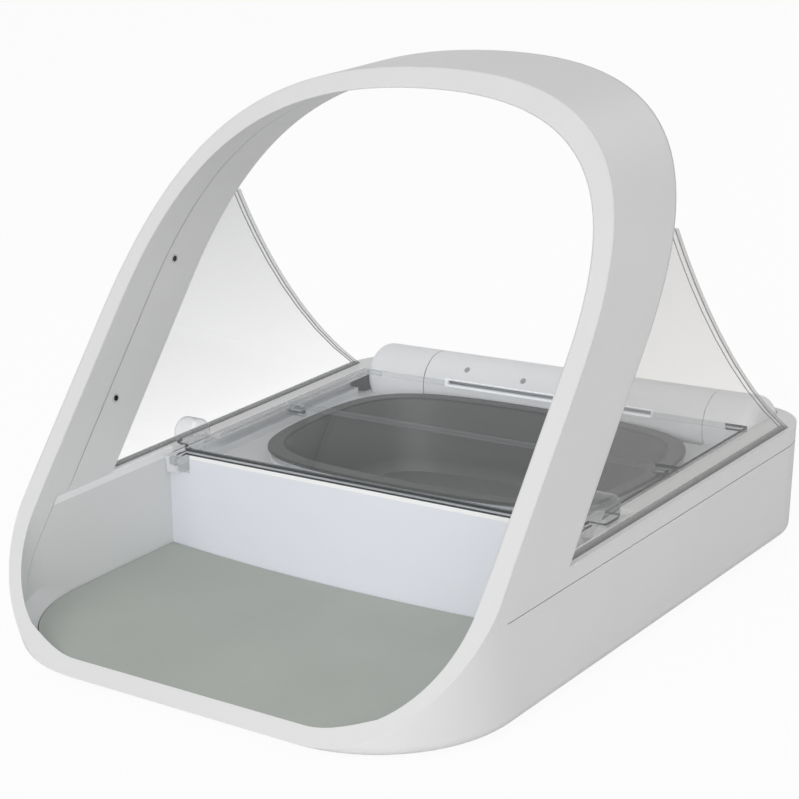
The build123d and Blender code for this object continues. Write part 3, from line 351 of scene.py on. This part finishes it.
# painted light: faces of the wall that look forwards are paler and bluer
shaped_colour(wall, on_painted_front_light, (0.80, 0.82, 0.875))
# painted light: the bowl's floor is paler than its walls
shaped_colour(bowl_plastic, on_painted_bowl_floor_light, (0.185, 0.2, 0.19))
# painted shade: the bowl's rim is darker
shaped_colour(bowl_plastic, on_painted_rim_shade, (0.055, 0.058, 0.055))
shaped_colour(barrel, near_pips, (0.40, 0.41, 0.43))
# a painted highlight along the top of the front wall
shaped_colour(wall, on_painted_lip_highlight, (0.97, 0.97, 0.98))

rear_edge = []
for step in range(shield_steps + 1):
    t = step / shield_steps
    shares = ((1 - t) ** 3, 3 * (1 - t) ** 2 * t, 3 * (1 - t) * t**2, t**3)
    y, z = (sum(share * corner[i] for share, corner in zip(shares, shield_corners)) for i in (0, 1))
    rear_edge.append((z, y))

clear_lid = clear(
    "clear_lid", (0.965, 0.97, 0.972), (0.5, 0.52, 0.54), (0.035, 0.04, 0.045),
    0.016, 0.016, lid_rim, "Z", 0.16, outline=lid_outline,
)
left_shield = clear(
    "clear_shield_left", (0.995, 0.995, 0.995), (0.42, 0.43, 0.44), (0.16, 0.165, 0.17),
    0.0, 0.24, shield_rim, "X", 0.4, curve=rear_edge,
)
right_shield = clear(
    "clear_shield_right", (0.99, 0.985, 0.98), (0.44, 0.435, 0.43), (0.16, 0.16, 0.16),
    0.08, 0.22, shield_rim, "X", 0.4, curve=rear_edge,
)

looks = {
    "upper_housing": white, "hoop_liner": plain_white, "lower_housing": plain_white,
    "battery_cover_left": white, "battery_cover_right": white, "rubber_feet": foot_rubber,
    "inner_tray": wall, "bowl_well": wall, "floor_mat": mat_rubber, "bowl": bowl_plastic,
    "barrel_cap_left": barrel, "barrel_cap_right": barrel, "lid_drum": barrel,
    "lid_rear_panel": clear_lid, "lid_front_panel": clear_lid,
    "side_shield_left": left_shield, "side_shield_right": right_shield,
    "lid_track_left": track_plastic, "lid_track_right": track_plastic,
    "shaft_bush_left": bush, "shaft_bush_right": bush, "gear_motor": steel, "motor_bracket": acetal,
    "drum_shaft": steel, "fold_pins": steel, "output_shaft": steel, "housing_screws": steel,
    "lid_gear": acetal, "drive_pinion": acetal, "antenna_coil": winding, "ir_sensors": ir_window,
    "circuit_board": board, "battery_cells_left": cell_sleeve, "battery_cells_right": cell_sleeve,
    "battery_contacts_left": contact, "battery_contacts_right": contact,
    "button_learn": button_plastic, "button_open": button_plastic, "button_training": button_plastic,
}
for name, look in looks.items():
    mesh = nodes[name].data
    mesh.materials.clear()
    mesh.materials.append(look)

# ---- floor, world and lamps ------------------------------------------------------------------
floor_colour, floor_glow_share = (0.94, 0.94, 0.94, 1), 0.93
sky_low, sky_high = 0.1, 0.9  # the part of the sky over which its light changes
level_light, top_light, left_light, right_light = 0.73, 0.5, 1.0, 0.76
reflected_light, seen_light = 0.7, 1.0

bpy.ops.mesh.primitive_plane_add(size=12, location=(0, 0, 0))
floor = bpy.context.object
floor.name = "floor"
floor_look, tree, out = tree_of("studio_floor")
matte = add(tree, "BsdfDiffuse", Color=floor_colour).outputs["BSDF"]
glow = add(tree, "Emission", Color=white_light).outputs["Emission"]
glow_share = maths(tree, "MULTIPLY", add(tree, "LightPath").outputs["Is Camera Ray"], floor_glow_share)
join(tree, out, {"Surface": mix_shaders(tree, glow_share, matte, glow)})
floor.data.materials.append(floor_look)

world = bpy.data.worlds.new("studio")
scene.world = world
world.use_nodes = True
tree = world.node_tree
tree.nodes.clear()
way = axes(tree, add(tree, "TexCoord").outputs["Generated"])
overhead = ramp(tree, way["Z"], sky_low, sky_high, level_light, top_light)
sideways = ramp(tree, way["X"], sky_low, sky_high, left_light, right_light)
level = maths(tree, "MULTIPLY", overhead, sideways)
ambient = add(tree, "Background", Color=white_light, Strength=level).outputs["Background"]
glossed = add(tree, "Background", Color=white_light, Strength=reflected_light).outputs["Background"]
seen = add(tree, "Background", Color=white_light, Strength=seen_light).outputs["Background"]
path = add(tree, "LightPath").outputs
lit = mix_shaders(tree, path["Is Glossy Ray"], ambient, glossed)
direct = maths(tree, "MAXIMUM", path["Is Camera Ray"], path["Is Transmission Ray"])
add(tree, "OutputWorld", Surface=mix_shaders(tree, direct, lit, seen))


def lamp(name, place, aim, energy):
    """A square lamp of one metre."""
    data = bpy.data.lights.new(name, "AREA")
    data.shape = "SQUARE"
    data.size = 1.0
    data.energy = energy
    item = bpy.data.objects.new(name, data)
    scene.collection.objects.link(item)
    item.location = place
    item.rotation_euler = (Vector(aim) - Vector(place)).to_track_quat("-Z", "Y").to_euler()


lamp("key", (0.0, -1.6, 0.8), (0, 0, 0.08), 6)
lamp("fill", (0.9, -1.4, 0.35), (0, 0, 0.05), 7)
lamp("back", (0.2, 1.5, 1.3), (0, 0, 0.08), 2.5)

# ---- camera ----------------------------------------------------------------------------------
azimuth, elevation, roll = (math.radians(angle) for angle in (38.3202, 17.5850, -4.1107))
target = Vector((-0.0083686, 0.0241614, 0.065318))
target_distance = 0.826142
sensor_width = 36
image_size, focal_length = 799, 2064.35  # in pixels, as is the centre
centre_x, centre_y = 416.287, 408.738

flat = math.cos(elevation)
back = Vector((math.sin(azimuth) * flat, -math.cos(azimuth) * flat, math.sin(elevation)))
right = Vector((math.cos(azimuth), math.sin(azimuth), 0))
up = back.cross(right)
across = math.cos(roll) * right + math.sin(roll) * up
upward = -math.sin(roll) * right + math.cos(roll) * up
rotation = Matrix((across, upward, back)).transposed()
cam = bpy.data.cameras.new("camera")
cam.sensor_width = sensor_width
cam.lens = focal_length / image_size * sensor_width
cam.shift_x = (image_size / 2 - centre_x) / image_size
cam.shift_y = (centre_y - image_size / 2) / image_size
cam.clip_start = 0.01
camera = bpy.data.objects.new("camera", cam)
scene.collection.objects.link(camera)
camera.matrix_world = Matrix.Translation(target + back * target_distance) @ rotation.to_4x4()
scene.camera = camera

scene.view_settings.view_transform = "Standard"
